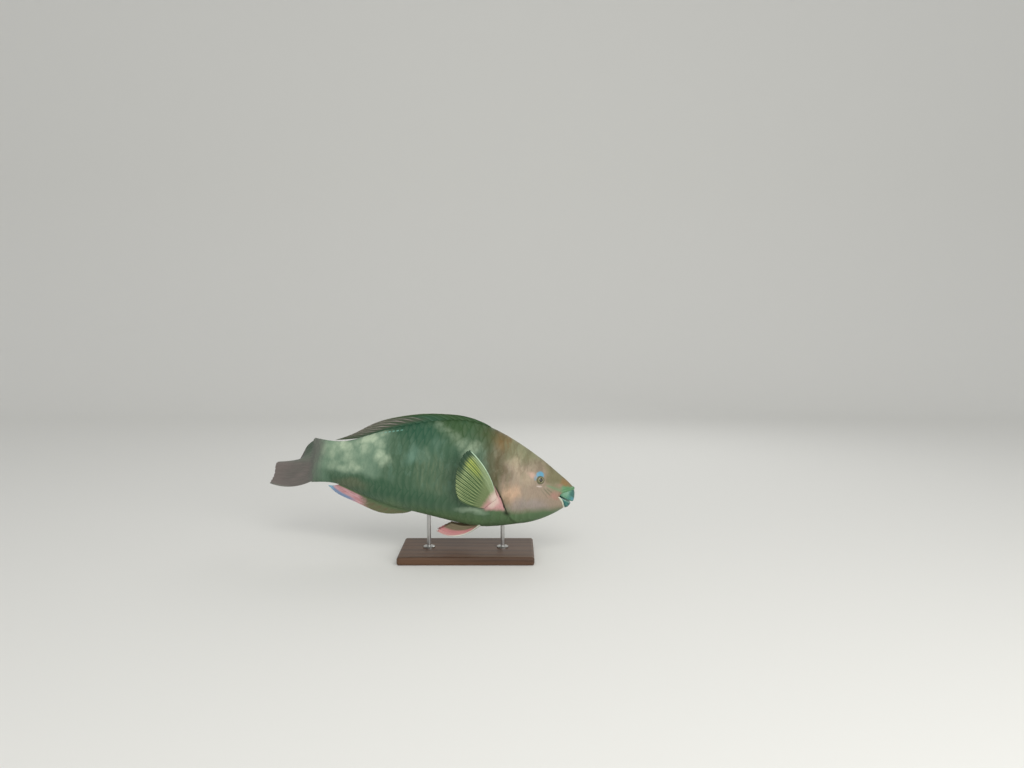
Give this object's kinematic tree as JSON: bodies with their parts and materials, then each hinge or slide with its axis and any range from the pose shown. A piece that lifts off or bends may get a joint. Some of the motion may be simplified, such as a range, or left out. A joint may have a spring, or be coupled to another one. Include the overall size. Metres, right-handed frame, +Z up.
{
  "type": "rainbow parrotfish model on a stand",
  "caption": "Life-size still model of a large parrotfish, swimming nose down with its tail swept aside, on two rods and a flat base.",
  "frame": {"origin": "centre of the stand base's underside", "axes": "+X towards the fish's head end, +Y to the fish's left, +Z up; the base's underside faces -Z"},
  "size_m": [0.7236, 0.255, 0.322],
  "materials": {
    "skin": "painted scales, satin, rose-brown head to dark green and pale mint flank",
    "beak": "glossy blue-green",
    "eye": "wet gloss",
    "fin": "thin painted membrane, satin",
    "stand_wood": "oiled dark wood",
    "stand_steel": "brushed"
  },
  "bodies": {
    "root": {"head": "skin", "trunk": "skin", "tail_stalk": "skin", "gill_cover_left": "skin", "gill_cover_right": "skin", "beak_upper": "beak", "beak_lower": "beak", "eye_left": "eye", "eye_right": "eye", "dorsal_fin": "fin", "anal_fin": "fin", "caudal_fin": "fin", "pectoral_fin_left": "fin", "pectoral_fin_right": "fin", "pelvic_fin_left": "fin", "pelvic_fin_right": "fin", "stand_base": "stand_wood", "stand_rod_front": "stand_steel", "stand_rod_rear": "stand_steel"}
  },
  "joints": []
}
